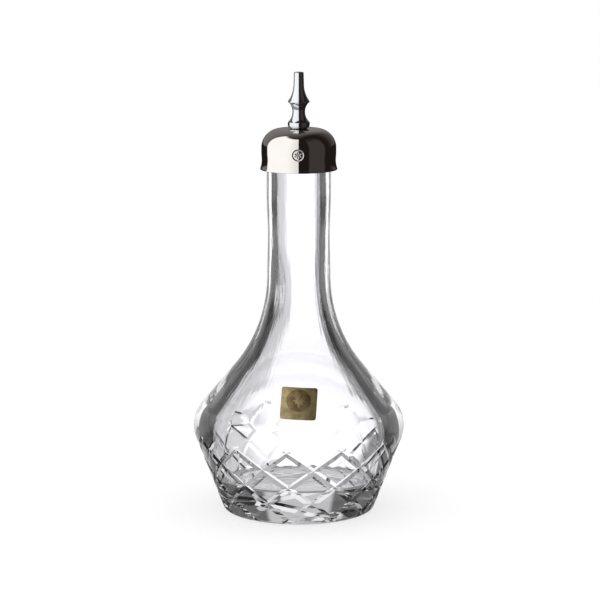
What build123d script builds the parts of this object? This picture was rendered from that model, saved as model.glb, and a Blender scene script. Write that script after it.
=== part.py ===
from build123d import *
import os
from math import cos, pi, radians, sin, sqrt, tan

# Bitters bottle: a cut crystal bottle with a turned metal dasher top.
# Millimetres, +Z up. The origin is the centre of the ring that the bottle stands on.
# The label faces -Y, and azimuths are measured from there, positive towards +X.

# Glass, outside
lip_level = 136.4
belly_diameter = 77.0
belly_level = 31.1
belly_arc_radius = 11.7
wall_angle = 21.0
heel_radius = 2.0
shoulder_angle = 40.0
shoulder_arc_radius = 51.5
neck_diameter = 23.0
neck_waist_diameter = 22.4
finish_diameter = 23.3
finish_level = 117.0
lip_outer_round = 1.2
lip_inner_round = 0.5
standing_ring_width = 1.5
underside_rise = 1.2

# Glass, inside
floor_level = 12.9
belly_wall = 7.5
cavity_level = 29.1
cavity_arc_radius = 8.0
cavity_wall_angle = 16.5
floor_corner_radius = 1.6
cavity_shoulder_angle = 34.5
cavity_shoulder_radius = 63.0
throat_diameter = 14.8
bore_diameter = 15.2
bore_start_level = 112.0

# Neck outline: where the waist lies between the shoulder and the finish
neck_waist_share = 0.5

# Cut lattice
lattice_peaks = 12
lattice_sweep_angle = 60.0
lattice_first_angle = -6.6
lattice_drop_from_belly = 2.4
lattice_bottom_level = 2.0
lattice_bow_share = 0.125
groove_depth = 0.63
groove_overrun = 0.5
groove_angle = 130.0
groove_stations = 11
groove_start_share = -0.04
groove_end_share = 1.16
groove_run_in_share = 0.08

# Foil label
label_side = 12.8
label_corner_radius = 0.8
label_thickness = 0.18
label_relief = 0.12
label_level_share = 0.445
label_turn_angle = -3.5
label_medallion_diameter = 9.0
label_star_rays = 8
label_star_radius = 3.9
label_star_short_share = 0.62
label_star_ray_width = 1.1

# Dasher: drawn cap shell
cap_clearance = 1.05
cap_wall = 0.8
cap_waist_depth = 0.15
cap_rim_flare = 0.4
cap_height = 14.7
cap_shoulder_radius = 6.8
cap_waist_rise = 3.4
cap_straight_rise = 6.2
cap_rim_land = 0.35

# Dasher: turned spout
spout_height = 20.3
spout_tip_diameter = 3.5
spout_tip_round = 0.4
spout_stem_diameter = 3.7
spout_stem_length = 4.3
spout_collar_diameter = 7.8
spout_collar_level = 9.6
spout_collar_edge = 0.25
spout_waist_diameter = 4.5
spout_waist_level = 6.1
spout_foot_diameter = 7.9
spout_foot_height = 2.3
spout_foot_round = 1.3
spout_bore_diameter = 2.4
spout_orifice_diameter = 1.6
spout_orifice_length = 2.5
shank_diameter = 5.0
shank_tail = 0.4

# Dasher: seal, cork, washer and nut
seal_thickness = 2.5
seal_diameter = 18.8
seal_edge_height = 1.0
seal_top_clearance = 0.1
cork_length = 8.4
cork_end_chamfer = 0.7
cork_clearance = 0.05
washer_diameter = 11.0
washer_thickness = 0.8
nut_across_flats = 7.0
nut_height = 2.2
nut_chamfer = 0.3
shank_clearance = 0.1
thread_clearance = 0.04

# One length that every cutting tool runs past what it cuts
overrun = 1.0

# Cap side, at a clearance round the glass
cap_diameter = finish_diameter + 2 * (cap_clearance + cap_wall)

# Levels of the dasher stack, from the glass lip up and down
crown_underside = lip_level + seal_thickness
crown_level = crown_underside + cap_wall
cork_bottom = lip_level - cork_length
washer_bottom = cork_bottom - washer_thickness
nut_bottom = washer_bottom - nut_height


class GlassWall:
    """One face of the glass in section: heel arc, leaning wall, belly arc, shoulder line and shoulder arc."""

    def __init__(
        self, level, heel, lean, belly_radius, belly_level, belly_arc, slope, neck_radius, shoulder_arc
    ):
        self.level = level
        self.lean = radians(lean)
        self.slope = radians(slope)
        self.belly_arc = belly_arc
        self.belly_centre = (belly_radius - belly_arc, belly_level)
        self.wall_top = self.on_belly(-self.lean)
        self.belly_end = self.on_belly(self.slope)
        heel_rise = heel * (1 - sin(self.lean))
        self.heel_end = (self.leaning_radius(level + heel_rise), level + heel_rise)
        self.heel_start = (self.heel_end[0] - heel * cos(self.lean), level)
        self.heel_middle = (
            self.heel_start[0] + heel * sin((pi / 2 - self.lean) / 2),
            level + heel * (1 - cos((pi / 2 - self.lean) / 2)),
        )
        self.neck_foot_radius = neck_radius
        arc_start_radius = neck_radius + shoulder_arc * (1 - cos(self.slope))
        arc_start_level = self.belly_end[1] + (self.belly_end[0] - arc_start_radius) / tan(self.slope)
        self.arc_start = (arc_start_radius, arc_start_level)
        self.neck_foot = (neck_radius, arc_start_level + shoulder_arc * sin(self.slope))
        half = self.slope / 2
        self.arc_middle = (
            neck_radius + shoulder_arc * (1 - cos(half)),
            self.neck_foot[1] - shoulder_arc * sin(half),
        )

    def on_belly(self, angle):
        """Point of the belly arc at an angle above the level of its centre."""
        return (
            self.belly_centre[0] + self.belly_arc * cos(angle),
            self.belly_centre[1] + self.belly_arc * sin(angle),
        )

    def leaning_radius(self, level):
        """Radius of the leaning wall, or of its extension below the heel."""
        return self.wall_top[0] - (self.wall_top[1] - level) * tan(self.lean)

    def side_point(self, level):
        """Radius at a level below the belly end, and the face's outward normal there as (radial, up)."""
        if level < self.wall_top[1]:
            return self.leaning_radius(level), (cos(self.lean), -sin(self.lean))
        rise = (level - self.belly_centre[1]) / self.belly_arc
        run = sqrt(1 - rise * rise)
        return self.belly_centre[0] + self.belly_arc * run, (run, rise)

    def lower_curves(self):
        """The outline from the end of the floor up to the top of the leaning wall."""
        return [
            ThreePointArc(self.heel_start, self.heel_middle, self.heel_end),
            Line(self.heel_end, self.wall_top),
        ]

    def upper_curves(self):
        """The outline from the top of the leaning wall up to the foot of the neck."""
        return [
            ThreePointArc(self.wall_top, self.on_belly((self.slope - self.lean) / 2), self.belly_end),
            Line(self.belly_end, self.arc_start),
            ThreePointArc(self.arc_start, self.arc_middle, self.neck_foot),
        ]


def wall_off_glass(distance):
    """The outer face, or a face at a distance off it."""
    return GlassWall(
        0, heel_radius, wall_angle, belly_diameter / 2 + distance, belly_level, belly_arc_radius + distance,
        shoulder_angle, neck_diameter / 2 + distance, shoulder_arc_radius - distance,
    )


outer = wall_off_glass(0)
inner = GlassWall(
    floor_level, floor_corner_radius, cavity_wall_angle, belly_diameter / 2 - belly_wall, cavity_level,
    cavity_arc_radius, cavity_shoulder_angle, throat_diameter / 2, cavity_shoulder_radius,
)


def turned(curves):
    """Solid of revolution about Z from a closed outline in (radius, level)."""
    return revolve(Plane.XZ * make_face(curves), Axis.Z, 360)


def between(start, end, share):
    return start + (end - start) * share


def disc(diameter, bottom, top, hole_diameter):
    """Flat round piece with a central hole."""
    hole = hole_diameter / 2
    edge = diameter / 2
    return turned(Polyline((hole, bottom), (edge, bottom), (edge, top), (hole, top), close=True))


def glass_blank():
    """The bottle before cutting: the outer form less the cavity and the neck bore."""
    ring_inner = (outer.heel_start[0] - standing_ring_width, 0)
    rise_top = (0, underside_rise)
    rise_middle = (ring_inner[0] / 2, underside_rise * 3 / 4)
    waist = (neck_waist_diameter / 2, between(outer.neck_foot[1], finish_level, neck_waist_share))
    finish_foot = (finish_diameter / 2, finish_level)
    lip_side = (finish_diameter / 2, lip_level)
    outside = turned(
        [ThreePointArc(rise_top, rise_middle, ring_inner), Line(ring_inner, outer.heel_start)]
        + outer.lower_curves()
        + outer.upper_curves()
        + [
            Spline(outer.neck_foot, waist, finish_foot, tangents=[(0, 1), (0, 1)]),
            Line(finish_foot, lip_side),
            Line(lip_side, (0, lip_level)),
            Line((0, lip_level), rise_top),
        ]
    )
    bore_foot = (bore_diameter / 2, bore_start_level)
    bore_top = (bore_diameter / 2, lip_level + overrun)
    cavity = turned(
        [Line((0, floor_level), inner.heel_start)]
        + inner.lower_curves()
        + inner.upper_curves()
        + [
            Spline(inner.neck_foot, bore_foot, tangents=[(0, 1), (0, 1)]),
            Line(bore_foot, bore_top),
            Line(bore_top, (0, bore_top[1])),
            Line((0, bore_top[1]), (0, floor_level)),
        ]
    )
    blank = outside - cavity
    lip_edges = blank.edges().filter_by(GeomType.CIRCLE).filter_by_position(Axis.Z, lip_level, lip_level)
    lip_edges = lip_edges.sort_by(lambda edge: edge.radius)
    blank = fillet(lip_edges[-1], lip_outer_round)
    lip_edges = blank.edges().filter_by(GeomType.CIRCLE).filter_by_position(Axis.Z, lip_level, lip_level)
    return fillet(lip_edges.sort_by(lambda edge: edge.radius)[0], lip_inner_round)


def groove_section(share, hand):
    """Triangle across one groove, at a share of its way from a peak under the belly down to the heel."""
    top_level = belly_level - lattice_drop_from_belly
    fall = (1 - share) * (1 - lattice_bow_share * share)
    level = lattice_bottom_level + (top_level - lattice_bottom_level) * fall
    radius, (out, up) = outer.side_point(level)
    azimuth = radians(hand * lattice_sweep_angle * share)
    radial = Vector(sin(azimuth), -cos(azimuth), 0)
    around = Vector(cos(azimuth), sin(azimuth), 0)
    normal = radial * out + Vector(0, 0, up)
    downhill = radial * up - Vector(0, 0, out)
    fall_rate = (top_level - lattice_bottom_level) * (1 + lattice_bow_share - 2 * lattice_bow_share * share)
    along = around * (hand * radius * radians(lattice_sweep_angle)) + downhill * (fall_rate / out)
    across = normal.cross(along.normalized())
    depth = groove_depth * min(1, (share - groove_start_share) / groove_run_in_share)
    half_width = (depth + groove_overrun) * tan(radians(groove_angle / 2))
    centre = radial * radius + Vector(0, 0, level)
    bottom = centre - normal * depth
    left = centre + normal * groove_overrun - across * half_width
    right = centre + normal * groove_overrun + across * half_width
    return make_face(Polyline(bottom, left, right, close=True))


def groove_tool(hand):
    """One V-shaped cut of the lattice, leaning to the right (hand 1) or to the left (hand -1)."""
    full_share = groove_start_share + groove_run_in_share
    parts = [station / (groove_stations - 1) for station in range(groove_stations)]
    shares = [groove_start_share] + [between(full_share, groove_end_share, part) for part in parts]
    return loft([groove_section(share, hand) for share in shares], ruled=True)


def glass_bottle():
    """Thick crystal bottle with the crossing V-cuts of its lattice, one leaning set after the other."""
    bottle = glass_blank()
    for hand in (1, -1):
        tool = groove_tool(hand)
        azimuths = [lattice_first_angle + peak * 360 / lattice_peaks for peak in range(lattice_peaks)]
        bottle = bottle - [Rot(0, 0, azimuth) * tool for azimuth in azimuths]
    return bottle


def shoulder_layer(distance):
    """Layer on the belly and the shoulder, from the glass out to a distance off it."""
    face = wall_off_glass(distance)
    ends = [Line(outer.wall_top, face.wall_top), Line(face.neck_foot, outer.neck_foot)]
    return turned(outer.upper_curves() + face.upper_curves() + ends)


def label_plane():
    """Plane that touches the shoulder at the label's centre, turned as the label is."""
    radius = between(outer.belly_end[0], outer.arc_start[0], label_level_share)
    level = between(outer.belly_end[1], outer.arc_start[1], label_level_share)
    normal = Vector(0, -cos(outer.slope), sin(outer.slope))
    return Plane(origin=(0, -radius, level), x_dir=(1, 0, 0), z_dir=normal).rotated((0, 0, label_turn_angle))


def foil_label():
    """Square of foil on the shoulder, with a sunk round medallion that holds a star of rays."""
    square = RectangleRounded(label_side, label_side, label_corner_radius)
    relief = square - Circle(label_medallion_diameter / 2)
    for ray in range(label_star_rays):
        reach = label_star_radius * (1 if ray % 2 == 0 else label_star_short_share)
        half = label_star_ray_width / 2
        blade = make_face(Polyline((0, 0), (half, half), (0, reach), (-half, half), close=True))
        relief += Rot(0, 0, ray * 360 / label_star_rays) * blade
    plane = label_plane()
    sheet = extrude(plane * square, label_side / 2, both=True)
    raised = extrude(plane * relief, label_side / 2, both=True)
    foil = shoulder_layer(label_thickness) & sheet
    return foil + (shoulder_layer(label_thickness + label_relief) & raised)


def cap_shell():
    """Drawn metal cap: flat crown with a hole for the shank, rounded shoulder, waisted and flared skirt."""
    rim = crown_level - cap_height
    inset = cap_shoulder_radius * (1 - sin(pi / 4))
    inner_shoulder = cap_shoulder_radius - cap_wall
    inner_inset = cap_wall + inner_shoulder * (1 - sin(pi / 4))
    side = cap_diameter / 2
    waist = side - cap_waist_depth
    flare = side + cap_rim_flare
    hole = shank_diameter / 2 + shank_clearance
    flat = side - cap_shoulder_radius
    shoulder_foot = crown_level - cap_shoulder_radius
    straight_end = rim + cap_straight_rise
    waist_level = rim + cap_waist_rise
    curves = [
        Line((hole, crown_level), (flat, crown_level)),
        ThreePointArc((flat, crown_level), (side - inset, crown_level - inset), (side, shoulder_foot)),
        Line((side, shoulder_foot), (side, straight_end)),
        Spline((side, straight_end), (waist, waist_level), tangents=[(0, -1), (0, -1)]),
        TangentArc((waist, waist_level), (flare, rim + cap_rim_land), tangent=(0, -1)),
        Line((flare, rim + cap_rim_land), (flare, rim)),
        Line((flare, rim), (flare - cap_wall, rim)),
        Line((flare - cap_wall, rim), (flare - cap_wall, rim + cap_rim_land)),
        TangentArc((waist - cap_wall, waist_level), (flare - cap_wall, rim + cap_rim_land), tangent=(0, -1)),
        Spline((waist - cap_wall, waist_level), (side - cap_wall, straight_end), tangents=[(0, 1), (0, 1)]),
        Line((side - cap_wall, straight_end), (side - cap_wall, shoulder_foot)),
        ThreePointArc(
            (side - cap_wall, shoulder_foot),
            (side - inner_inset, crown_level - inner_inset),
            (flat, crown_underside),
        ),
        Line((flat, crown_underside), (hole, crown_underside)),
        Line((hole, crown_underside), (hole, crown_level)),
    ]
    return turned(curves)


def dasher_spout():
    """Turned spout: foot, waist, sharp collar and slim tip, bored through, and a shank through the cork."""
    top = crown_level + spout_height
    tip = spout_tip_diameter / 2
    stem = spout_stem_diameter / 2
    stem_foot = (stem, top - spout_stem_length)
    collar = spout_collar_diameter / 2
    collar_top = (collar, crown_level + spout_collar_level + spout_collar_edge)
    collar_bottom = (collar, crown_level + spout_collar_level)
    waist = (spout_waist_diameter / 2, crown_level + spout_waist_level)
    foot_edge = (spout_foot_diameter / 2, crown_level + spout_foot_height)
    foot_turn = (spout_foot_diameter / 2, crown_level + spout_foot_round)
    foot_bottom = (spout_foot_diameter / 2 - spout_foot_round, crown_level)
    shank = shank_diameter / 2
    shank_bottom = nut_bottom - shank_tail
    bore = spout_bore_diameter / 2
    orifice = spout_orifice_diameter / 2
    bore_top = top - spout_orifice_length
    curves = [
        Line((orifice, top), (tip - spout_tip_round, top)),
        Line((tip - spout_tip_round, top), (tip, top - spout_tip_round)),
        Line((tip, top - spout_tip_round), stem_foot),
        TangentArc(stem_foot, collar_top, tangent=(0, -1)),
        Line(collar_top, collar_bottom),
        TangentArc(waist, collar_bottom, tangent=(0, 1)),
        TangentArc(waist, foot_edge, tangent=(0, -1)),
        Line(foot_edge, foot_turn),
        TangentArc(foot_turn, foot_bottom, tangent=(0, -1)),
        Line(foot_bottom, (shank, crown_level)),
        Line((shank, crown_level), (shank, shank_bottom)),
        Line((shank, shank_bottom), (bore, shank_bottom)),
        Line((bore, shank_bottom), (bore, bore_top - (bore - orifice))),
        Line((bore, bore_top - (bore - orifice)), (orifice, bore_top)),
        Line((orifice, bore_top), (orifice, top)),
    ]
    return turned(curves)


def sealing_disc():
    """Soft disc between the crown and the glass lip, bevelled to clear the cap's round shoulder."""
    hole = shank_diameter / 2 + shank_clearance
    edge = seal_diameter / 2
    top = cap_diameter / 2 - cap_shoulder_radius - seal_top_clearance
    return turned(
        Polyline(
            (hole, lip_level),
            (edge, lip_level),
            (edge, lip_level + seal_edge_height),
            (top, crown_underside),
            (hole, crown_underside),
            close=True,
        )
    )


def cork_stopper():
    """Cork that fills the mouth of the bottle, on the shank."""
    diameter = bore_diameter - 2 * cork_clearance
    cork = disc(diameter, cork_bottom, lip_level, shank_diameter + 2 * shank_clearance)
    edges = cork.edges().filter_by(GeomType.CIRCLE).filter_by_position(Axis.Z, cork_bottom, cork_bottom)
    return chamfer(edges.sort_by(lambda edge: edge.radius)[-1], cork_end_chamfer)


def cork_washer():
    """Metal washer under the cork."""
    return disc(washer_diameter, washer_bottom, cork_bottom, shank_diameter + 2 * shank_clearance)


def retaining_nut():
    """Small hexagon nut that clamps the stack on the shank."""
    across_corners = nut_across_flats / cos(pi / 6)
    hexagon = RegularPolygon(across_corners / 2, 6)
    hole = Circle(shank_diameter / 2 + thread_clearance)
    nut = extrude(Plane.XY.offset(nut_bottom) * (hexagon - hole), nut_height)
    crown = turned(
        Polyline(
            (0, nut_bottom),
            (across_corners / 2 - nut_chamfer, nut_bottom),
            (across_corners / 2, nut_bottom + nut_chamfer),
            (across_corners / 2, washer_bottom),
            (0, washer_bottom),
            close=True,
        )
    )
    return nut & crown


pieces = {
    "glass_bottle": glass_bottle,
    "foil_label": foil_label,
    "cap_shell": cap_shell,
    "dasher_spout": dasher_spout,
    "sealing_disc": sealing_disc,
    "cork_stopper": cork_stopper,
    "cork_washer": cork_washer,
    "retaining_nut": retaining_nut,
}

os.makedirs("parts", exist_ok=True)
for name, build in pieces.items():
    export_step(build(), f"parts/{name}.step")
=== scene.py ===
from math import asin, atan2, cos, degrees, pi, radians, sin, sqrt, tan

import bmesh
import bpy
from bpy.props import FloatProperty, FloatVectorProperty, IntProperty, PointerProperty
from bpy.types import Operator, Panel, PropertyGroup
from mathutils import Matrix, Vector


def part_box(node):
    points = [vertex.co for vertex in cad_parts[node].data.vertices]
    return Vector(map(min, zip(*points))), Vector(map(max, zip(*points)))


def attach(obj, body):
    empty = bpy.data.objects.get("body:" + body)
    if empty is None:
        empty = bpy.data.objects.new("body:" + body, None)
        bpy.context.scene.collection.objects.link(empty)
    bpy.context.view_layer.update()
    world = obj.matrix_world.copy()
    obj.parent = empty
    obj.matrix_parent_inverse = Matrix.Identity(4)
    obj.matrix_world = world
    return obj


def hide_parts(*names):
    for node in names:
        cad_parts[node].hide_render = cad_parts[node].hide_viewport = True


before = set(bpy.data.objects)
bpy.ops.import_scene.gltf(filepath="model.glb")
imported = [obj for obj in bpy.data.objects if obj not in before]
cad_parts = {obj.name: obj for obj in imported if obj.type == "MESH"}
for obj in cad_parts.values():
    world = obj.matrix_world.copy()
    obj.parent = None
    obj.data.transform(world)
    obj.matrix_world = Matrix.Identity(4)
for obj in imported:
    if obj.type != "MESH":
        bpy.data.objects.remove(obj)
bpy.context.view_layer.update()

bl_info = {
    "name": "Bitters Bottle",
    "version": (1, 0, 0),
    "blender": (4, 5, 0),
    "location": "3D View > Sidebar > Bitters Bottle",
    "description": "Cut crystal bitters bottle with a foil label and a metal dasher top on a cork",
    "category": "Add Mesh",
}

glass_low, glass_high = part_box("glass_bottle")
cap_low, cap_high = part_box("cap_shell")
spout_low, spout_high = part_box("dasher_spout")


def length(description, default):
    """A size in metres."""
    return FloatProperty(description=description, default=default, min=0, unit="LENGTH", precision=5)


def angle(description, default):
    """An angle, given in degrees and kept in radians."""
    return FloatProperty(description=description, default=radians(default), subtype="ANGLE")


def share(description, default):
    """A part of a whole."""
    return FloatProperty(description=description, default=default, min=0, max=1, subtype="FACTOR")


def number(description, default, lowest=-1):
    """A plain number."""
    return FloatProperty(description=description, default=default, min=lowest)


def level(description, default):
    """A brightness, where 1 is white."""
    return number(description, default, 0)


def count(description, default):
    """A number of parts."""
    return IntProperty(description=description, default=default, min=3)


def colour(description, default):
    """A surface colour."""
    return FloatVectorProperty(description=description, default=default, min=0, max=1, subtype="COLOR")


def named(group):
    """Gives each setting of a group its name, which is its identifier in plain words."""
    for identifier, setting in group.__annotations__.items():
        setting.keywords["name"] = identifier.replace("_", " ").capitalize()
    return group


@named
class CrystalSettings(PropertyGroup):
    """Sizes of the turned glass, outside and inside."""

    lip_level: length("Height of the lip", glass_high[2])
    belly_diameter: length("Greatest width", glass_high[0] - glass_low[0])
    belly_level: length("Height of the belly arc's centre", 0.0311)
    belly_arc: length("Radius of the belly in section", 0.0117)
    wall_angle: angle("Lean of the wall under the belly", 21)
    heel_radius: length("Round between the wall and the foot", 0.002)
    shoulder_angle: angle("Slope of the straight shoulder", 40)
    shoulder_arc: length("Radius from the shoulder into the neck", 0.0515)
    neck_diameter: length("Width at the foot of the neck", 0.023)
    waist_diameter: length("Width of the neck halfway up", 0.0224)
    finish_diameter: length("Width of the neck under the cap", 0.0233)
    finish_level: length("Height where the finish starts", 0.117)
    lip_outer_round: length("Round outside the lip", 0.0012)
    lip_inner_round: length("Round inside the lip", 0.0005)
    ring_width: length("Width of the ring that the bottle stands on", 0.0015)
    underside_rise: length("Hollow of the underside", 0.0012)
    floor_level: length("Height of the cavity's floor", 0.0129)
    belly_wall: length("Thickness of the glass at the belly", 0.0075)
    cavity_level: length("Height of the cavity arc's centre", 0.0291)
    cavity_arc: length("Radius of the cavity's belly in section", 0.008)
    cavity_wall_angle: angle("Lean of the cavity's wall", 16.5)
    floor_corner: length("Round between the floor and the cavity's wall", 0.0016)
    cavity_shoulder_angle: angle("Slope of the cavity's shoulder", 34.5)
    cavity_shoulder_arc: length("Radius from its shoulder into the throat", 0.063)
    throat_diameter: length("Narrowest width of the passage", 0.0148)
    bore_diameter: length("Width of the mouth for the cork", 0.0152)
    bore_level: length("Height where the bore starts", 0.112)
    pool_level: length("Height of the thicker place inside the neck", 0.0785)
    pool_reach: length("Half the height of the thicker place", 0.022)
    pool_depth: length("How far the thicker place stands in from the wall", 0.0009)
    pool_turn: angle("Azimuth of the thicker place from the front", -57)
    pool_half: angle("Half the azimuth that the thicker place covers", 48)
    turns: count("Faces around the glass", 192)


@named
class LatticeSettings(PropertyGroup):
    """The crossing V-cuts under the belly."""

    peaks: count("Cuts of each hand", 12)
    sweep: angle("Azimuth that one cut covers", 60)
    first: angle("Azimuth of the first peak from the front", -6.6)
    drop: length("Peaks below the belly level", 0.0024)
    bottom: length("Height where the cuts reach the heel", 0.002)
    bow: share("How much steeper a cut starts than it ends", 0.125)
    depth: length("Depth of a cut", 0.00048)
    overrun: length("Height of the cutting wheel's section above the glass", 0.0005)
    groove_angle: angle("Angle between the two flanks of a cut", 140)
    start: number("Where a cut starts, as a part of its way down", -0.04)
    run_in: share("Part of its way in which a cut comes to full depth", 0.08)
    end: number("Where a cut ends, as a part of its way down", 1.16)
    stations: count("Sections along a cut", 24)


@named
class LabelSettings(PropertyGroup):
    """The square of gold foil on the shoulder."""

    side: length("Side of the square", 0.0128)
    corner: length("Radius of its corners", 0.0008)
    thickness: length("Thickness of the foil", 0.00018)
    relief: length("Depth of the medallion and height of the star", 0.00012)
    place: share("How far up the straight shoulder it sits", 0.445)
    turn: angle("Turn in its own plane", -3.5)
    medallion: length("Width of the sunk round", 0.0088)
    rays: count("Rays of the star, long and short", 8)
    medallion_rise: length("How far the medallion sits above the middle", 0.0011)
    star_radius: length("Reach of the long rays", 0.0039)
    short_share: share("Reach of the short rays", 0.66)
    notch_radius: length("Radius between the rays", 0.0015)
    beads: count("Beads in the row along the lower edge", 11)
    bead: length("Width of a bead", 0.0006)
    bead_height: share("Height of a bead for its width", 0.4)
    bead_row: length("Length of the row of beads", 0.0096)


@named
class CapSettings(PropertyGroup):
    """The drawn metal cap."""

    crown_level: length("Height of the crown", cap_high[2])
    rim_level: length("Height of the rim", cap_low[2])
    diameter: length("Width of the straight side", 0.027)
    rim_diameter: length("Width of the flared rim", cap_high[0] - cap_low[0])
    waist_diameter: length("Width above the flare", 0.0267)
    wall: length("Thickness of the metal", 0.0008)
    shoulder: length("Round between crown and side", 0.0068)
    waist_rise: length("Height of the waist above the rim", 0.0034)
    straight_rise: length("Height above the rim where the side turns straight", 0.0062)
    rim_land: length("Height of the rim's plain edge", 0.00035)
    hole: length("Width of the hole for the shank", 0.0052)
    emblem_level: length("Height of the stamped star's centre", 0.1315)
    emblem_shift: length("How far the stamped star sits to the left of the middle", 0.0003)
    emblem_radius: length("Radius of the ring round the stamped star", 0.00194)
    emblem_rays: count("Rays of the stamped star", 6)
    emblem_depth: length("Depth of the stamping", 0.00012)


@named
class SpoutSettings(PropertyGroup):
    """The turned dasher spout with its shank."""

    top: length("Height of the tip", spout_high[2])
    foot: length("Height that the foot stands on", cap_high[2])
    shank_bottom: length("Height of the shank's lower end", spout_low[2])
    tip_diameter: length("Width of the tip", 0.0035)
    tip_round: length("Bevel of the tip", 0.0004)
    stem_diameter: length("Width of the stem's foot", 0.0037)
    stem_length: length("Length of the stem", 0.0043)
    collar_diameter: length("Width of the sharp collar", 0.0078)
    collar_rise: length("Collar above the foot's underside", 0.0096)
    collar_edge: length("Height of the collar's edge", 0.00025)
    waist_diameter: length("Width between collar and foot", 0.0045)
    waist_rise: length("Waist above the foot's underside", 0.0061)
    foot_diameter: length("Width of the foot", 0.0079)
    foot_height: length("Height of the foot's edge", 0.0023)
    foot_round: length("Round under the foot", 0.0013)
    bore: length("Width of the passage", 0.0024)
    orifice: length("Width of the dosing hole", 0.0016)
    orifice_length: length("Depth of the dosing hole", 0.0025)
    shank: length("Width of the shank", 0.005)


@named
class FinishSettings(PropertyGroup):
    """Colours and finishes."""

    glass_index: number("Refractive index of lead crystal", 1.53, 1)
    streaks: number("How fine the streaks in the drawn glass are", 11, 0)
    streak_climb: number("How fast the streaks change on their way up", 6, 0)
    streak_depth: length("Depth of the streaks on the shoulder", 0.00016)
    streak_radius: length("Distance from the axis where they are that deep", 0.04)
    streak_start: length("Height where the streaks set in", 0.041)
    streak_fade: length("Height over which they set in", 0.012)
    cap_colour: colour("Polished plate of the cap", (0.80, 0.77, 0.74))
    spout_colour: colour("Polished plate of the spout", (0.75, 0.765, 0.80))
    foil_colour: colour("Gold foil", (0.58, 0.49, 0.25))
    foil_dark: colour("Gold foil where it is rubbed dull", (0.38, 0.29, 0.14))
    foil_deep: colour("Darkened foil in the sunk round", (0.22, 0.13, 0.06))
    cork_colour: colour("Cork grain", (0.46, 0.29, 0.15))
    cork_dark: colour("Dark grains and seams of the cork", (0.20, 0.11, 0.05))
    seal_colour: colour("Sealing disc", (0.62, 0.62, 0.59))
    steel_colour: colour("Washer and nut", (0.56, 0.56, 0.57))


@named
class StageSettings(PropertyGroup):
    """Floor, studio and camera. The glass and the metal each see the studio in their own way."""

    floor_radius: length("Radius of the floor", 0.35)
    focal: number("Lens of the camera in millimetres", 153.5, 1)
    pitch: angle("How far the camera looks down", 9.98)
    look_level: length("Height that the camera looks at", 0.07712)
    distance: length("Camera to the axis", 0.9301)
    shift: number("Sideways shift of the frame", 0.002)
    window_half: angle("Half the width of each bright window", 16.6)
    window_soft: angle("Softness of the windows' edges", 3.7)
    window_spread: angle("How much wider the far window is low down and high up", 18)
    spread_radius: length("Reach of the wider window on the floor", 0.105)
    window: level("Brightness of a window", 1.2)
    high_window: level("Brightness of a window above the horizon", 0.56)
    low_window: level("Brightness of a window on the floor", 0.8)
    spill: share("Left window's light on the card beside it", 0.65)
    card: level("Brightness of the dark cards between the windows", 0.17)
    level_card: level("Brightness of the cards at the horizon", 0.02)
    high_card: level("Brightness of the cards above the horizon", 0.12)
    step: level("Grey beside the far window, seen through both walls", 0.7)
    through: level("Brightness past the far window, seen through both walls", 0.17)
    overhead: level("Brightness above, seen in the glass", 0.4)
    front: level("Brightness on the camera's side, seen in the glass", 0.75)
    # Painted shadow: grey floor round the foot, seen only through the glass.
    painted_shadow_grey: level("Floor near the foot, seen in the glass", 0.3)
    painted_shadow_reach: length("Reach of the floor's grey", 0.064)
    painted_shadow_soft: length("Softness of that reach", 0.006)
    floor_tone: level("How much light the floor gives back", 0.42)
    floor_lift: level("Light added to the floor to make it white", 0.64)
    floor_shine: level("Floor seen in the metal", 0.33)
    softbox: level("Softbox on the left, seen in the metal", 1.25)
    softbox_side: share("Brightness of its left part for that of the rest", 0.78)
    ceiling: level("Far side and ceiling, seen in the metal", 0.22)
    panel: level("Dim panel on the right, seen in the metal", 0.053)
    room: level("Dark of the room, seen in the metal", 0.015)
    backdrop: level("Backdrop mirrored by the glass", 0.85)
    backdrop_side: share("Brightness of its sides for that of its middle", 0.35)
    fill: level("Light on surfaces that aren't shiny", 0.95)


@named
class BottleSettings(PropertyGroup):
    """All settings of the bottle."""

    crystal: PointerProperty(type=CrystalSettings)
    lattice: PointerProperty(type=LatticeSettings)
    label: PointerProperty(type=LabelSettings)
    cap: PointerProperty(type=CapSettings)
    spout: PointerProperty(type=SpoutSettings)
    finish: PointerProperty(type=FinishSettings)
    stage: PointerProperty(type=StageSettings)


class Value:
    """A socket that carries a number, so that sums of sockets read as plain expressions."""

    def __init__(self, recipe, socket):
        self.recipe = recipe
        self.socket = socket

    def math(self, operation, *others):
        return self.recipe.math(operation, self, *others)

    def __add__(self, other):
        return self.math("ADD", other)

    __radd__ = __add__

    def __sub__(self, other):
        return self.math("SUBTRACT", other)

    def __rsub__(self, other):
        return self.recipe.math("SUBTRACT", other, self)

    def __mul__(self, other):
        return self.math("MULTIPLY", other)

    __rmul__ = __mul__

    def __truediv__(self, other):
        return self.math("DIVIDE", other)

    def __abs__(self):
        return self.math("ABSOLUTE")

    def over(self, limit):
        """1 where the value is over a limit, else 0."""
        return self.math("GREATER_THAN", limit)

    def past(self, edge, softness):
        """Rises smoothly from 0 to 1 around an edge."""
        sockets = {"Value": self, "From Min": edge - softness / 2, "From Max": edge + softness / 2}
        return self.recipe.add("MapRange", {"interpolation_type": "SMOOTHSTEP"}, sockets)

    def within(self, start, start_softness, end, end_softness):
        """1 between two soft edges, else 0."""
        return self.past(start, start_softness) * (1 - self.past(end, end_softness))


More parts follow.
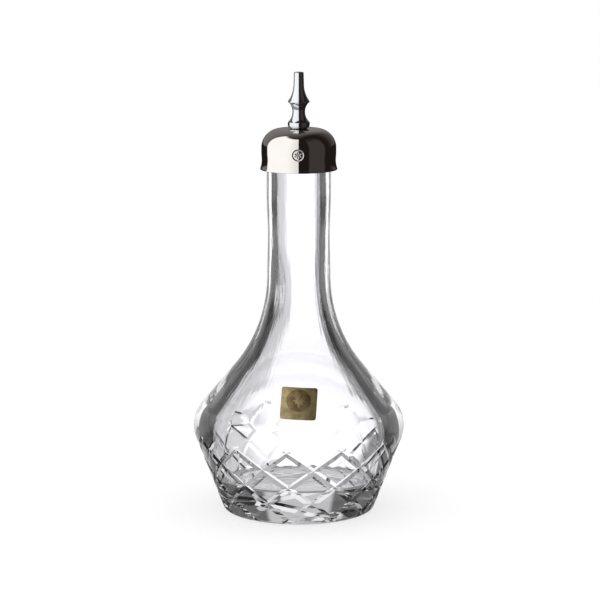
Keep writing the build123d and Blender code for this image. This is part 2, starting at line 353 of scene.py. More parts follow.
class Recipe:
    """The nodes of one material or world."""

    def __init__(self, owner):
        owner.use_nodes = True
        self.owner = owner
        self.tree = owner.node_tree
        self.tree.nodes.clear()

    def add(self, kind, settings=None, sockets=None, output=0, stops=()):
        """Adds a node, sets it up, feeds its sockets, and gives one of its outputs."""
        node = self.tree.nodes.new("ShaderNode" + kind)
        for name, setting in (settings or {}).items():
            setattr(node, name, setting)
        if stops:
            elements = node.color_ramp.elements
            elements[0].position, elements[0].color = stops[0]
            elements[1].position, elements[1].color = stops[-1]
            for position, stop_colour in stops[1:-1]:
                elements.new(position).color = stop_colour
        for name, value in (sockets or {}).items():
            if isinstance(value, Value):
                self.tree.links.new(value.socket, node.inputs[name])
            else:
                node.inputs[name].default_value = value
        return Value(self, node.outputs[output]) if node.outputs else node

    def math(self, operation, *terms):
        """The result of a sum on values and numbers."""
        return self.add("Math", {"operation": operation}, dict(enumerate(terms)))

    def outputs(self, kind, names, sockets=None):
        """Several outputs of one node."""
        node = self.add(kind, sockets=sockets).socket.node
        return [Value(self, node.outputs[name]) for name in names]

    def split(self, vector):
        """The three numbers of a vector."""
        return self.outputs("SeparateXYZ", range(3), {0: vector})

    def stretched(self, vector, tall):
        """A pattern's coordinates, scaled along the bottle's axis."""
        return self.add("Mapping", sockets={"Vector": vector, "Scale": (1, 1, tall)})

    def scaled(self, vector, factor):
        """A colour or a vector times a number."""
        return self.add("VectorMath", {"operation": "SCALE"}, {0: vector, "Scale": factor})

    def noise(self, vector, scale, detail=2.0, roughness=0.5):
        """Soft noise from 0 to 1."""
        sockets = {"Vector": vector, "Scale": scale, "Detail": detail, "Roughness": roughness}
        return self.add("TexNoise", sockets=sockets)

    def ramp(self, part, *stops):
        """Colours along a value."""
        return self.add("ValToRGB", sockets={"Fac": part}, stops=[(at, (*tone, 1)) for at, tone in stops])

    def mottled(self, part, tone, shade, full=0.7):
        """A colour that turns into a darker shade of itself as a value grows from 0.3 to a full one."""
        return self.ramp(part, (0.3, tone), (full, [shade * channel for channel in tone]))

    def bump(self, height, distance, strength=1.0):
        """Normal of a surface with small relief."""
        return self.add("Bump", sockets={"Height": height, "Distance": distance, "Strength": strength})

    def surface(self, sockets):
        """Ends the recipe of a material in its surface, and gives the material."""
        shader = self.add("BsdfPrincipled", sockets=sockets)
        self.add("OutputMaterial", sockets={"Surface": shader})
        return self.owner


def blend(first, second, part):
    """One value turning into another as the part goes from 0 to 1."""
    return first + (second - first) * part


def span(x, y):
    """Distance of a place from the bottle's axis."""
    return (x * x + y * y).math("SQRT")


def finish(name):
    """The recipe of a new material, and the places on the piece that carries it."""
    recipe = Recipe(bpy.data.materials.new(name))
    return recipe, recipe.add("TexCoord", output="Object")


def crystal_finish(settings):
    """Clear lead crystal, with streaks in the drawn neck and shoulder and slight unevenness all over."""
    recipe, place = finish("clear crystal")
    x, y, z = recipe.split(place)
    radius = span(x, y)
    drawn = recipe.add("CombineXYZ", sockets={0: x / radius, 1: y / radius, 2: z * settings.streak_climb})
    streaks = (recipe.noise(drawn, settings.streaks) - 0.5) * radius / settings.streak_radius
    streaks = streaks * z.past(settings.streak_start, settings.streak_fade)
    uneven = recipe.noise(recipe.stretched(place, 0.35), 90.0, 1.0)
    clear = recipe.ramp(recipe.noise(place, 40.0), (0.3, (0.97, 0.965, 0.985)), (0.7, (0.985, 0.98, 1)))
    return recipe.surface({
        "Base Color": clear,
        "Roughness": 0.0,
        "IOR": settings.glass_index,
        "Transmission Weight": 1.0,
        "Normal": recipe.bump(streaks + 0.15 * uneven, settings.streak_depth),
    })


def cap_finish(settings, cap):
    """Polished plate with fine wiping marks, and a small star stamped in a ring on the front, darkened
    there with painted shade.
    """
    recipe, place = finish("polished plate")
    x, y, z = recipe.split(place)
    marks = recipe.noise(recipe.stretched(place, 14), 300.0, 3.0)
    smears = recipe.noise(place, 120.0, 3.0)
    # The ring and the star are drawn in parts of the emblem's radius.
    across = (x + cap.emblem_shift) / cap.emblem_radius
    up = (z - cap.emblem_level) / cap.emblem_radius
    radius = span(across, up)
    ring = radius.within(0.86, 0.05, 1.0, 0.26)
    rays = (across.math("ARCTAN2", up) * cap.emblem_rays).math("COSINE")
    star = 1 - (radius - 0.16 * rays).past(0.42, 0.3)
    # The stamping is sunk by the bump and rougher, and its base colour is painted darker as shade in the
    # recess.
    stamped = ring.math("MAXIMUM", star) * (0 - y).over(0)
    plate = recipe.mottled(smears, settings.cap_colour, 0.93, 0.8)
    return recipe.surface({
        # Painted shade: the plate is 45% darker inside the stamped ring and star.
        "Base Color": recipe.scaled(plate, 1 - 0.45 * stamped),
        "Metallic": 1.0,
        "Roughness": 0.045 + 0.05 * smears * smears + 0.1 * stamped,
        "Normal": recipe.bump(marks * 0.03 - stamped, cap.emblem_depth),
    })


def spout_finish(settings):
    """Polished plate over fine turning lines."""
    recipe, place = finish("turned plate")
    rings = {"Vector": place, "Scale": 900.0, "Distortion": 0.6}
    lines = recipe.add("TexWave", {"bands_direction": "Z"}, rings, "Fac")
    smears = recipe.noise(place, 220.0, 3.0)
    return recipe.surface({
        "Base Color": recipe.mottled(smears, settings.spout_colour, 0.9, 0.8),
        "Metallic": 1.0,
        "Roughness": 0.05 + 0.06 * smears,
        "Normal": recipe.bump(lines, 0.00001, 0.2),
    })


def foil_finish(name, light, dark):
    """Satin gold foil with rubbed patches and a fine grain."""
    recipe, place = finish(name)
    grain = recipe.noise(place, 2600.0, 2.0)
    rubbed = recipe.noise(place, 330.0, 4.0, 0.6)
    return recipe.surface({
        "Base Color": recipe.ramp(rubbed, (0.38, dark), (0.62, light)),
        "Metallic": 0.85,
        "Roughness": 0.26 + 0.14 * rubbed,
        "Normal": recipe.bump(grain * 0.3 + rubbed, 0.00006, 0.4),
    })


def cork_finish(settings):
    """Pressed cork: packed grains with dark seams and small pits."""
    recipe, place = finish("pressed cork")
    sway = recipe.add("TexNoise", sockets={"Vector": place, "Scale": 900.0}, output="Color")
    bent = recipe.add("VectorMath", {"operation": "ADD"}, {0: place, 1: recipe.scaled(sway, 0.0006)})
    packing = {"Vector": bent, "Scale": 850.0}
    tone = recipe.split(recipe.add("TexVoronoi", sockets=packing, output="Color"))[0]
    seams = recipe.add("TexVoronoi", {"feature": "DISTANCE_TO_EDGE"}, packing)
    pits = recipe.noise(place, 1500.0, 2.0).past(0.66, 0.08)
    body = seams.past(0.05, 0.08) * (1 - 0.7 * pits)
    light = settings.cork_colour
    pale = [min(1, channel * 1.35) for channel in light]
    grains = recipe.ramp(
        body * (0.35 + 0.65 * tone), (0.0, settings.cork_dark), (0.4, light), (1.0, pale)
    )
    return recipe.surface({
        "Base Color": grains,
        "Roughness": 0.86 - 0.08 * tone,
        "Normal": recipe.bump(body, 0.00015, 0.7),
    })


def seal_finish(settings):
    """Milky silicone with a dull bloom."""
    recipe, place = finish("milky silicone")
    bloom = recipe.noise(place, 500.0, 3.0)
    return recipe.surface({
        "Base Color": recipe.mottled(bloom, settings.seal_colour, 0.9),
        "Roughness": 0.5 + 0.15 * bloom,
        "Subsurface Weight": 0.2,
        "Normal": recipe.bump(bloom, 0.00002, 0.3),
    })


def steel_finish(settings):
    """Plain steel with fine turning marks."""
    recipe, place = finish("turned steel")
    x, y, z = recipe.split(place)
    turned = recipe.add("CombineXYZ", sockets={0: span(x, y), 1: z * 0.2})
    marks = recipe.noise(turned, 6000.0, 2.0)
    return recipe.surface({
        "Base Color": recipe.mottled(marks, settings.steel_colour, 0.86),
        "Metallic": 1.0,
        "Roughness": 0.26 + 0.12 * marks,
        "Normal": recipe.bump(marks, 0.00001, 0.4),
    })


class GlassFace:
    """One face of the glass in section: round, leaning wall, belly arc, shoulder line and shoulder arc."""

    def __init__(
        self, foot, corner, lean, belly_radius, belly_level, belly_arc, slope, neck_radius, shoulder_arc
    ):
        self.lean = lean
        self.slope = slope
        self.belly_arc = belly_arc
        self.belly_centre = (belly_radius - belly_arc, belly_level)
        self.shoulder_arc = shoulder_arc
        self.wall_top = self.on_belly(-lean)
        self.belly_end = self.on_belly(slope)
        corner_rise = corner * (1 - sin(lean))
        self.corner_end = (self.leaning_radius(foot + corner_rise), foot + corner_rise)
        self.corner_start = (self.corner_end[0] - corner * cos(lean), foot)
        self.corner_centre = (self.corner_start[0], foot + corner)
        arc_radius = neck_radius + shoulder_arc * (1 - cos(slope))
        self.arc_start = (arc_radius, self.belly_end[1] + (self.belly_end[0] - arc_radius) / tan(slope))
        self.neck_foot = (neck_radius, self.arc_start[1] + shoulder_arc * sin(slope))
        self.arc_centre = (neck_radius + shoulder_arc, self.neck_foot[1])

    def on_belly(self, turn):
        """Point of the belly arc at an angle above the level of its centre."""
        return (
            self.belly_centre[0] + self.belly_arc * cos(turn),
            self.belly_centre[1] + self.belly_arc * sin(turn),
        )

    def leaning_radius(self, height):
        """Radius of the leaning wall, or of its extension below the round."""
        return self.wall_top[0] - (self.wall_top[1] - height) * tan(self.lean)

    def side(self, height):
        """Radius at a height below the belly's end, and the outward normal there as (radial, up)."""
        if height < self.wall_top[1]:
            return self.leaning_radius(height), (cos(self.lean), -sin(self.lean))
        rise = (height - self.belly_centre[1]) / self.belly_arc
        run = sqrt(1 - rise * rise)
        return self.belly_centre[0] + self.belly_arc * run, (run, rise)

    def draw_up(self, outline):
        """Draws the face from the start of its round up to the foot of the neck."""
        outline.arc(self.corner_centre, pi / 2 - self.lean, 10)
        outline.line(*self.wall_top, 20)
        outline.arc(self.belly_centre, self.lean + self.slope, 24)
        outline.line(*self.arc_start, 12)
        outline.arc(self.arc_centre, -self.slope, 30)

    def draw_down(self, outline):
        """Draws the face from the foot of the neck down to the start of its round."""
        outline.arc(self.arc_centre, self.slope, 48)
        outline.line(*self.belly_end, 12)
        outline.arc(self.belly_centre, -self.lean - self.slope, 24)
        outline.line(*self.corner_end, 12)
        outline.arc(self.corner_centre, self.lean - pi / 2, 16)


def outer_face(sizes):
    """The outside of the glass."""
    return GlassFace(
        0, sizes.heel_radius, sizes.wall_angle, sizes.belly_diameter / 2, sizes.belly_level,
        sizes.belly_arc, sizes.shoulder_angle, sizes.neck_diameter / 2, sizes.shoulder_arc,
    )


def inner_face(sizes):
    """The cavity of the glass."""
    return GlassFace(
        sizes.floor_level, sizes.floor_corner, sizes.cavity_wall_angle,
        sizes.belly_diameter / 2 - sizes.belly_wall, sizes.cavity_level, sizes.cavity_arc,
        sizes.cavity_shoulder_angle, sizes.throat_diameter / 2, sizes.cavity_shoulder_arc,
    )


class Outline:
    """Half a section in the XZ plane, drawn from point to point and then turned about the bottle's axis."""

    def __init__(self, radius, height):
        self.mesh = bmesh.new()
        self.tip = bmesh.ops.create_vert(self.mesh, co=(radius, 0, height))["vert"][0]

    def line(self, radius, height, cuts=0):
        """Straight run to a point, in equal parts."""
        start = self.tip.co.copy()
        for part in range(cuts + 1):
            self.step_to(start.lerp(Vector((radius, 0, height)), (part + 1) / (cuts + 1)))

    def sway(self, radius, height, steps):
        """Smooth run to a point that starts and ends straight up or down."""
        start = self.tip.co.copy()
        for part in range(1, steps + 1):
            along = part / steps
            sideways = along * along * (3 - 2 * along)
            self.step_to((blend(start.x, radius, sideways), 0, blend(start.z, height, along)))

    def step_to(self, place):
        """Draws on to a place."""
        grown = bmesh.ops.extrude_vert_indiv(self.mesh, verts=[self.tip])
        self.tip = grown["verts"][0]
        self.tip.co = place

    def arc(self, centre, turn, steps):
        """Arc about a centre, positive from +X to +Z."""
        spun = bmesh.ops.spin(
            self.mesh, geom=[self.tip], cent=(centre[0], 0, centre[1]), axis=(0, -1, 0), angle=turn,
            steps=steps,
        )
        self.tip = spun["geom_last"][0]

    def curl(self, radius, height, steps):
        """Arc to a point that starts straight up or down."""
        across = radius - self.tip.co.x
        rise = height - self.tip.co.z
        bow = (across * across + rise * rise) / (2 * across)
        side = 1 if bow > 0 else -1
        turn = atan2(-side * rise, side * (bow - across))
        self.arc((self.tip.co.x + bow, self.tip.co.z), turn, steps)

    def reach(self, radius, height, steps):
        """Arc to a point that ends straight up or down."""
        across = self.tip.co.x - radius
        rise = self.tip.co.z - height
        bow = (across * across + rise * rise) / (2 * across)
        self.arc((radius + bow, height), atan2(rise, bow - across), steps)

    def turned(self, turns):
        """Closes the outline's solid about the axis."""
        mesh = self.mesh
        bmesh.ops.spin(
            mesh, geom=mesh.verts[:] + mesh.edges[:], cent=(0, 0, 0), axis=(0, 0, 1), angle=2 * pi,
            steps=turns, use_merge=True,
        )
        bmesh.ops.remove_doubles(mesh, verts=mesh.verts, dist=1e-7)
        bmesh.ops.recalc_face_normals(mesh, faces=mesh.faces)
        return mesh


def as_object(name, mesh):
    """Makes an object of a bmesh."""
    data = bpy.data.meshes.new(name)
    mesh.to_mesh(data)
    mesh.free()
    made = bpy.data.objects.new(name, data)
    bpy.context.scene.collection.objects.link(made)
    return made


def as_piece(name, mesh, material, sharp_angle, body, node):
    """Makes a piece of a bmesh, finishes it, and rides it on its body in place of a CAD node."""
    piece = as_object(name, mesh)
    piece.data.materials.append(material)
    shade(piece.data, sharp_angle)
    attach(piece, body)
    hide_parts(node)
    return piece


def shade(data, sharp_angle):
    """Smooth faces, with edges over an angle kept sharp."""
    data.shade_smooth()
    data.set_sharp_from_angle(angle=radians(sharp_angle))


def glass_blank(sizes):
    """The bottle before cutting, closed inside and out."""
    outer = outer_face(sizes)
    inner = inner_face(sizes)
    ring_radius = outer.corner_start[0] - sizes.ring_width
    dome = (ring_radius ** 2 + sizes.underside_rise ** 2) / (2 * sizes.underside_rise)
    finish_radius = sizes.finish_diameter / 2
    bore_radius = sizes.bore_diameter / 2
    lip = sizes.lip_level
    outer_round = sizes.lip_outer_round
    inner_round = sizes.lip_inner_round
    outline = Outline(0, sizes.underside_rise)
    outline.arc((0, sizes.underside_rise - dome), -asin(ring_radius / dome), 14)
    outline.line(outer.corner_start[0], 0)
    outer.draw_up(outline)
    outline.sway(sizes.waist_diameter / 2, (outer.neck_foot[1] + sizes.finish_level) / 2, 14)
    outline.sway(finish_radius, sizes.finish_level, 14)
    outline.line(finish_radius, lip - outer_round, 8)
    outline.arc((finish_radius - outer_round, lip - outer_round), pi / 2, 8)
    outline.line(bore_radius + inner_round, lip)
    outline.arc((bore_radius + inner_round, lip - inner_round), pi / 2, 6)
    outline.line(bore_radius, sizes.bore_level, 18)
    outline.sway(*inner.neck_foot, 36)
    inner.draw_down(outline)
    outline.line(0, sizes.floor_level, 6)
    mesh = outline.turned(sizes.turns)
    pool(mesh, sizes)
    return mesh


def pool(mesh, sizes):
    """Thickens one place inside the neck, where the glass pooled as the neck was drawn."""
    outer = outer_face(sizes)
    # The outer wall stays as it is, and none of it lies this deep.
    skin_depth = 0.001
    for vert in mesh.verts:
        radius = vert.co.to_2d().length
        up = (vert.co.z - sizes.pool_level) / sizes.pool_reach
        around = (atan2(vert.co.x, -vert.co.y) - sizes.pool_turn) / sizes.pool_half
        if abs(up) < 1 and abs(around) < 1:
            below = max(0, outer.neck_foot[1] - vert.co.z)
            skin = outer.neck_foot[0] + outer.shoulder_arc - sqrt(outer.shoulder_arc ** 2 - below ** 2)
            if radius < skin - skin_depth:
                swell = (1 - up * up) * (1 - around * around)
                vert.co.xy *= 1 - sizes.pool_depth * swell * swell / radius


def groove_place(lattice, outer, part, hand):
    """Where the cutting wheel's triangle stands at a part of one cut's way down, as a matrix."""
    drop = outer.belly_centre[1] - lattice.drop - lattice.bottom
    height = lattice.bottom + drop * (1 - part) * (1 - lattice.bow * part)
    radius, (out, up) = outer.side(height)
    azimuth = hand * lattice.sweep * part
    radial = Vector((sin(azimuth), -cos(azimuth), 0))
    around = Vector((cos(azimuth), sin(azimuth), 0))
    normal = radial * out + Vector((0, 0, up))
    downhill = radial * up - Vector((0, 0, out))
    fall_rate = drop * (1 + lattice.bow - 2 * lattice.bow * part)
    along = (around * (hand * radius * lattice.sweep) + downhill * (fall_rate / out)).normalized()
    depth = lattice.depth * min(1, (part - lattice.start) / lattice.run_in)
    # The triangle has a radius of 1, so it is 1.5 tall and 2 * sin(pi / 3) wide before it is scaled.
    tall = (depth + lattice.overrun) * 2 / 3
    wide = (depth + lattice.overrun) * tan(lattice.groove_angle / 2) / sin(pi / 3)
    turn = Matrix.Identity(3)
    turn.col[0] = normal.cross(along) * wide
    turn.col[1] = -normal * tall
    turn.col[2] = along
    centre = radial * radius + Vector((0, 0, height)) + normal * (tall - depth)
    return Matrix.Translation(centre) @ turn.to_4x4()


def groove_tool(lattice, outer, hand):
    """All the cuts of one hand, each a bridged row of the cutting wheel's triangles."""
    mesh = bmesh.new()
    full = lattice.start + lattice.run_in
    last = lattice.stations - 1
    parts = [blend(full, lattice.end, station / last) for station in range(lattice.stations)]
    parts.insert(0, lattice.start)
    edges = []
    for part in parts:
        ring = bmesh.ops.create_circle(
            mesh, cap_ends=part in (parts[0], parts[-1]), segments=3, radius=1,
            matrix=groove_place(lattice, outer, part, hand),
        )["verts"]
        ring_edges = list({edge for vert in ring for edge in vert.link_edges})
        if edges:
            bmesh.ops.bridge_loops(mesh, edges=edges + ring_edges)
        edges = ring_edges
    step = 2 * pi / lattice.peaks
    geom = mesh.verts[:] + mesh.edges[:] + mesh.faces[:]
    bmesh.ops.rotate(mesh, verts=mesh.verts, cent=(0, 0, 0), matrix=Matrix.Rotation(lattice.first, 3, "Z"))
    bmesh.ops.spin(
        mesh, geom=geom, cent=(0, 0, 0), axis=(0, 0, 1), angle=step * (lattice.peaks - 1),
        steps=lattice.peaks - 1, use_duplicate=True,
    )
    bmesh.ops.recalc_face_normals(mesh, faces=mesh.faces)
    return as_object("groove tool", mesh)


def cut(piece, tools):
    """Cuts the tools out of a piece for good, and removes them."""
    for tool in tools:
        modifier = piece.modifiers.new("cut", "BOOLEAN")
        modifier.operation = "DIFFERENCE"
        modifier.solver = "EXACT"
        modifier.object = tool
    depsgraph = bpy.context.evaluated_depsgraph_get()
    data = bpy.data.meshes.new_from_object(piece.evaluated_get(depsgraph))
    piece.modifiers.clear()
    piece.data = data
    for tool in tools:
        bpy.data.objects.remove(tool)


class BOTTLE_OT_crystal(Operator):
    """Turn the glass and cut the lattice into it"""

    bl_idname = "bottle.crystal"
    bl_label = "Add Crystal Bottle"

    def execute(self, context):
        settings = context.scene.bitters_bottle
        blank = glass_blank(settings.crystal)
        clear = crystal_finish(settings.finish)
        sharp_angle = 18
        glass = as_piece(
            "cut_crystal_bottle", blank, clear, sharp_angle, "bottle", "glass_bottle"
        )
        outer = outer_face(settings.crystal)
        cut(glass, [groove_tool(settings.lattice, outer, hand) for hand in (1, -1)])
        shade(glass.data, sharp_angle)
        return {"FINISHED"}


def foil_square(label):
    """The label flat, with a sunk round medallion, a raised star and beads, its lower face at height 0."""
    medallion = label.medallion / 2
    rim = label.side / 2
    top = label.thickness + label.relief
    slant = label.relief / 2
    outline = Outline(0, 0)
    outline.line(rim, 0, 6)
    outline.line(rim, top)
    outline.line(medallion + slant, top, 5)
    outline.line(medallion, label.thickness)
    outline.line(0, label.thickness, 8)
    mesh = outline.turned(turns=96)
    for face in mesh.faces:
        middle = face.calc_center_median()
        sunk = middle.z > label.thickness / 2 and middle.to_2d().length < medallion
        face.material_index = int(sunk)
    for vert in mesh.verts:
        outwards = max(0, (vert.co.to_2d().length - medallion) / (rim - medallion))
        vert.co.xy *= 1 + (square_reach(label, vert.co) / rim - 1) * outwards
        vert.co.y += label.medallion_rise * (1 - outwards)
    add_star(mesh, label, top + slant)
    for bead in range(label.beads):
        across = label.bead_row * (bead / (label.beads - 1) - 0.5)
        place = Matrix.Translation((across, label.bead * 2 - rim, top))
        flat = Matrix.Diagonal((1, 1, label.bead_height, 1))
        bmesh.ops.create_icosphere(mesh, subdivisions=2, radius=label.bead / 2, matrix=place @ flat)
    return mesh


def add_star(mesh, label, peak):
    """Sets a flat cone in the medallion and draws its base out into long and short rays."""
    cone = bmesh.ops.create_cone(
        mesh, cap_ends=True, segments=2 * label.rays, radius1=1, radius2=0, depth=1,
        matrix=Matrix.Translation((0, 0, 0.5)),
    )["verts"]
    sunk = label.thickness * 0.8
    foot = Vector((0, label.medallion_rise, sunk))
    for vert in cone:
        if vert.co.z > 0.5:
            vert.co = (0, label.medallion_rise, peak)
            continue
        around = round(atan2(vert.co.x, vert.co.y) / (pi / label.rays))
        reach = label.notch_radius
        if around % 2 == 0:
            reach = label.star_radius * (1 if around % 4 == 0 else label.short_share)
        vert.co = foot + Vector((vert.co.x, vert.co.y, 0)).normalized() * reach


def square_reach(label, place):
    """Distance from the label's centre to its rounded edge, in the direction of a place."""
    across, along = sorted((abs(place.x), abs(place.y)))
    turn = atan2(across, along)
    straight = label.side / 2 - label.corner
    reach = label.side / 2 / cos(turn)
    if reach * sin(turn) <= straight:
        return reach
    corner = straight * (cos(turn) + sin(turn))
    return corner + sqrt(corner * corner - 2 * straight * straight + label.corner * label.corner)


def wrap_on_shoulder(mesh, label, outer):
    """Turns the flat label in its plane and lays it round the shoulder."""
    bmesh.ops.rotate(mesh, verts=mesh.verts, cent=(0, 0, 0), matrix=Matrix.Rotation(label.turn, 3, "Z"))
    radius = blend(outer.belly_end[0], outer.arc_start[0], label.place)
    height = blend(outer.belly_end[1], outer.arc_start[1], label.place)
    clear = 0.00001
    for vert in mesh.verts:
        x, up_slope, off = vert.co
        off += clear
        there = radius - up_slope * sin(outer.slope) + off * cos(outer.slope)
        rise = up_slope * cos(outer.slope) + off * sin(outer.slope)
        vert.co = (x, -sqrt(there * there - x * x), height + rise)


class BOTTLE_OT_label(Operator):
    """Lay the gold foil label on the shoulder"""

    bl_idname = "bottle.label"
    bl_label = "Add Foil Label"

    def execute(self, context):
        settings = context.scene.bitters_bottle
        mesh = foil_square(settings.label)
        wrap_on_shoulder(mesh, settings.label, outer_face(settings.crystal))
        finishes = settings.finish
        gold = foil_finish("gold foil", finishes.foil_colour, finishes.foil_dark)
        label = as_piece("gold_foil_label", mesh, gold, 30, "bottle", "foil_label")
        label.data.materials.append(foil_finish("dull foil", finishes.foil_dark, finishes.foil_deep))
        return {"FINISHED"}


def cap_outline(cap):
    """The cap's metal in section, from the hole in its crown round its rim and back."""
    side = cap.diameter / 2
    flare = cap.rim_diameter / 2
    waist = cap.waist_diameter / 2
    wall = cap.wall
    flat = side - cap.shoulder
    foot = cap.crown_level - cap.shoulder
    straight_end = cap.rim_level + cap.straight_rise
    waist_level = cap.rim_level + cap.waist_rise
    land = cap.rim_level + cap.rim_land
    edge = wall / 8
    outline = Outline(cap.hole / 2, cap.crown_level)
    outline.line(flat, cap.crown_level, 4)
    outline.arc((flat, foot), -pi / 2, 20)
    outline.line(side, straight_end, 4)
    outline.sway(waist, waist_level, 10)
    outline.curl(flare, land, 10)
    outline.line(flare, cap.rim_level + edge)
    outline.line(flare - edge, cap.rim_level)
    outline.line(flare - wall, cap.rim_level)
    outline.line(flare - wall, land)
    outline.line(waist - wall, waist_level, 5)
    outline.sway(side - wall, straight_end, 10)
    outline.line(side - wall, foot, 2)
    outline.arc((flat, foot), pi / 2, 16)
    outline.line(cap.hole / 2, cap.crown_level - wall)
    outline.line(cap.hole / 2, cap.crown_level)
    return outline


class BOTTLE_OT_cap(Operator):
    """Turn the polished cap"""

    bl_idname = "bottle.cap"
    bl_label = "Add Cap"

    def execute(self, context):
        settings = context.scene.bitters_bottle
        mesh = cap_outline(settings.cap).turned(turns=160)
        plate = cap_finish(settings.finish, settings.cap)
        as_piece("polished_cap_shell", mesh, plate, 35, "dasher", "cap_shell")
        return {"FINISHED"}


def spout_outline(spout):
    """The spout in section, from its orifice down its outside, and back up its bore."""
    tip = spout.tip_diameter / 2
    stem = (spout.stem_diameter / 2, spout.top - spout.stem_length)
    collar = spout.collar_diameter / 2
    collar_bottom = spout.foot + spout.collar_rise
    collar_top = collar_bottom + spout.collar_edge
    waist = (spout.waist_diameter / 2, spout.foot + spout.waist_rise)
    foot = spout.foot_diameter / 2
    shank = spout.shank / 2
    bore = spout.bore / 2
    orifice = spout.orifice / 2
    bore_top = spout.top - spout.orifice_length
    outline = Outline(orifice, spout.top)
    outline.line(tip - spout.tip_round, spout.top)
    outline.arc((tip - spout.tip_round, spout.top - spout.tip_round), -pi / 2, 6)
    outline.line(*stem, 4)
    outline.curl(collar, collar_top, 16)
    outline.line(collar, collar_bottom)
    outline.reach(*waist, 14)
    outline.curl(foot, spout.foot + spout.foot_height, 14)
    outline.line(foot, spout.foot + spout.foot_round)
    outline.arc((foot - spout.foot_round, spout.foot + spout.foot_round), -pi / 2, 10)
    outline.line(shank, spout.foot)
    outline.line(shank, spout.shank_bottom, 4)
    outline.line(bore, spout.shank_bottom)
    outline.line(bore, bore_top - (bore - orifice))
    outline.line(orifice, bore_top)
    outline.line(orifice, spout.top)
    return outline


class BOTTLE_OT_spout(Operator):
    """Turn the dasher spout"""

    bl_idname = "bottle.spout"
    bl_label = "Add Dasher Spout"

    def execute(self, context):
        settings = context.scene.bitters_bottle
        mesh = spout_outline(settings.spout).turned(turns=96)
        plate = spout_finish(settings.finish)
        as_piece("turned_dasher_spout", mesh, plate, 30, "dasher", "dasher_spout")
        return {"FINISHED"}


class BOTTLE_OT_stopper(Operator):
    """Give the cork, the sealing disc, the washer and the nut their finishes"""

    bl_idname = "bottle.stopper"
    bl_label = "Finish Stopper"

    def execute(self, context):
        finishes = context.scene.bitters_bottle.finish
        steel = steel_finish(finishes)
        dressed = {
            "cork_stopper": cork_finish(finishes),
            "sealing_disc": seal_finish(finishes),
            "cork_washer": steel,
            "retaining_nut": steel,
        }
        for node, material in dressed.items():
            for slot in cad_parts[node].material_slots:
                slot.material = material
        return {"FINISHED"}


def azimuth_of(x, y):
    """Azimuth of a place in degrees from straight behind the bottle, positive to the right."""
    return x.math("ARCTAN2", y) * degrees(1)


def off_window(azimuth):
    """Degrees from the middle of the nearest of the four windows."""
    return (azimuth + 405).math("MODULO", 90) - 45


def camera_side(azimuth):
    """1 on the camera's side of the studio, else 0."""
    return abs(azimuth).past(106, 10)


def through_both(depth):
    """1 for a ray through both walls, which has passed four faces of the glass, else 0."""
    return depth.over(3.5)


def one_wall(azimuth, bright, dark, stage):
    """What a ray through one wall sees: bright windows with dark cards between."""
    beside = azimuth.within(-90, 2, -65, 8)
    dark = blend(dark, stage.spill * bright, beside)
    between = abs(off_window(azimuth)).past(degrees(stage.window_half), degrees(stage.window_soft))
    return blend(bright, dark, between)


def both_walls(azimuth, wide, stage):
    """What a ray through both walls sees: windows with a grey step on the left, wider where wide is 1."""
    spread = wide * degrees(stage.window_spread)
    right = off_window(azimuth) - spread
    left = 0 - off_window(azimuth) - spread
    step = blend(stage.window, stage.step, left.past(12, 8))
    beyond = left.past(36, 24).math("MAXIMUM", right.past(22, 8))
    return blend(step, stage.through, beyond)


def mirrored(shine, azimuth, mirror, stage):
    """What a shiny face shows, which on smooth glass is a backdrop that is brightest in its middle."""
    backdrop = stage.backdrop * blend(1.0, stage.backdrop_side, abs(azimuth).past(67, 10))
    return blend(shine, backdrop, mirror)


def make_world(stage):
    """White for the camera, windows and cards for rays through the glass, one soft light for the metal.

    The edges in azimuth and elevation, and their softness, are in degrees.
    """
    recipe = Recipe(bpy.data.worlds.new("studio"))
    bpy.context.scene.world = recipe.owner
    x, y, z = recipe.split(recipe.add("TexCoord", output="Generated"))
    azimuth = azimuth_of(x, y)
    elevation = z.math("ARCSINE") * degrees(1)
    to_camera, diffuse, mirror, through_glass, depth = recipe.outputs("LightPath", (
        "Is Camera Ray", "Is Diffuse Ray", "Is Singular Ray", "Is Transmission Ray", "Transmission Depth",
    ))
    bright = blend(stage.window, stage.high_window, elevation.past(1, 14))
    dark = blend(stage.card, stage.level_card, elevation.past(-6, 8))
    dark = blend(dark, stage.high_card, elevation.past(8, 8))
    once = one_wall(azimuth, bright, dark, stage)
    twice = both_walls(azimuth, elevation.past(8, 6), stage)
    glass = blend(once, twice, through_both(depth))
    glass = blend(glass, stage.overhead, elevation.past(39.6, 15))
    glass = blend(glass, stage.front, camera_side(azimuth))
    softbox = azimuth.within(-179, 0.5, -67, 4) * (1 - elevation.past(68, 8))
    softbox_level = stage.softbox * blend(stage.softbox_side, 1.0, azimuth.past(-160, 40))
    panel = azimuth.within(92, 3, 148, 4) * (1 - elevation.past(55, 30))
    ceiling = (y - 0.7 * x.past(0.2, 0.5)).past(0.2, 1.4) * z.past(0.04, 0.08)
    room = blend(stage.room, stage.ceiling, ceiling)
    room = room.math("MAXIMUM", blend(stage.room, stage.panel, panel))
    shine = mirrored(blend(room, softbox_level, softbox), azimuth, mirror, stage)
    seen = blend(blend(shine, glass, through_glass), stage.fill, diffuse)
    # Only the dark parts that the metal shows are warm.
    pale = shine.math("MAXIMUM", to_camera.math("MAXIMUM", diffuse).math("MAXIMUM", through_glass))
    warm = recipe.ramp(pale, (0.01, (1, 0.78, 0.7)), (0.06, (1, 0.9, 0.88)), (0.4, (1, 1, 1)))
    tinted = recipe.scaled(warm, blend(seen, 1.0, to_camera))
    light = recipe.add("Background", sockets={"Color": tinted})
    recipe.add("OutputWorld", sockets={"Surface": light})


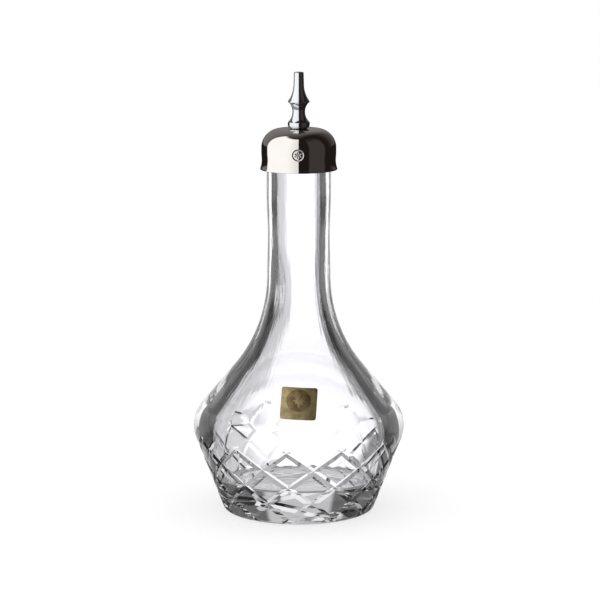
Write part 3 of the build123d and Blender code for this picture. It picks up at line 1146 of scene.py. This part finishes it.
def make_floor(stage):
    """A round pale floor with the bottle's soft shadow, and round its foot a painted grey shadow that only
    the glass shows.
    """
    mesh = bmesh.new()
    bmesh.ops.create_circle(mesh, cap_ends=True, segments=96, radius=stage.floor_radius)
    gap = 0.0001
    bmesh.ops.translate(mesh, verts=mesh.verts, vec=(0, 0, -gap))
    floor = as_object("pale_floor", mesh)
    recipe, place = finish("pale floor")
    x, y = recipe.split(place)[:2]
    azimuth = azimuth_of(x, y)
    radius = span(x, y)
    to_camera, mirror, through_glass, depth = recipe.outputs("LightPath", (
        "Is Camera Ray", "Is Singular Ray", "Is Transmission Ray", "Transmission Depth",
    ))
    once = one_wall(azimuth, stage.low_window, stage.card, stage)
    twice = both_walls(azimuth, 1 - radius.past(stage.spread_radius, 0.03), stage)
    far = blend(once, twice, through_both(depth))
    far = blend(far, stage.front, camera_side(azimuth) * radius.past(0.2, 0.2))
    # Round the foot the glass sees a painted shadow: the floor is grey out to the painted shadow's reach.
    seen = blend(stage.painted_shadow_grey, far, radius.past(stage.painted_shadow_reach, stage.painted_shadow_soft))
    right = x.past(0.0, 0.02)
    shine = mirrored(blend(stage.floor_shine, stage.room, right), azimuth, mirror, stage)
    floor.data.materials.append(recipe.surface({
        "Base Color": to_camera * stage.floor_tone,
        "Roughness": 0.9,
        "Specular IOR Level": 0.0,
        "Emission Color": blend(blend(shine, seen, through_glass), stage.floor_lift, to_camera),
        "Emission Strength": 1.0,
    }))


def make_camera(stage):
    """The photograph's camera, in front of the label and a little above it."""
    camera = bpy.data.cameras.new("camera")
    camera.lens = stage.focal
    camera.sensor_width = 36
    camera.shift_x = stage.shift
    rig = bpy.data.objects.new("camera", camera)
    bpy.context.scene.collection.objects.link(rig)
    back = Vector((0, -cos(stage.pitch), sin(stage.pitch)))
    rig.location = Vector((0, 0, stage.look_level)) + back * stage.distance
    rig.rotation_euler = (-back).to_track_quat("-Z", "Y").to_euler()
    bpy.context.scene.camera = rig


class BOTTLE_OT_stage(Operator):
    """Set up the floor, the studio and the camera"""

    bl_idname = "bottle.stage"
    bl_label = "Add Stage"

    def execute(self, context):
        stage = context.scene.bitters_bottle.stage
        make_floor(stage)
        make_world(stage)
        make_camera(stage)
        context.scene.view_settings.view_transform = "Standard"
        return {"FINISHED"}


operators = (
    BOTTLE_OT_crystal, BOTTLE_OT_label, BOTTLE_OT_cap, BOTTLE_OT_spout, BOTTLE_OT_stopper, BOTTLE_OT_stage,
)


class BOTTLE_PT_sidebar(Panel):
    """Lists the bottle's pieces and their settings"""

    bl_idname = "BOTTLE_PT_sidebar"
    bl_label = "Bitters Bottle"
    bl_space_type = "VIEW_3D"
    bl_region_type = "UI"
    bl_category = "Bitters Bottle"

    def draw(self, context):
        for operator in operators:
            self.layout.operator(operator.bl_idname)
        settings = context.scene.bitters_bottle
        for group in settings.__annotations__:
            box = self.layout.box()
            box.label(text=group.capitalize())
            sizes = getattr(settings, group)
            for name in sizes.__annotations__:
                box.prop(sizes, name)


classes = (
    CrystalSettings, LatticeSettings, LabelSettings, CapSettings, SpoutSettings, FinishSettings,
    StageSettings, BottleSettings, *operators, BOTTLE_PT_sidebar,
)


def register():
    for item in classes:
        bpy.utils.register_class(item)
    bpy.types.Scene.bitters_bottle = PointerProperty(type=BottleSettings)


def unregister():
    del bpy.types.Scene.bitters_bottle
    for item in reversed(classes):
        bpy.utils.unregister_class(item)


def main():
    register()
    bpy.ops.bottle.stage()
    bpy.ops.bottle.crystal()
    bpy.ops.bottle.label()
    bpy.ops.bottle.cap()
    bpy.ops.bottle.spout()
    bpy.ops.bottle.stopper()


if __name__ == "__main__":
    main()
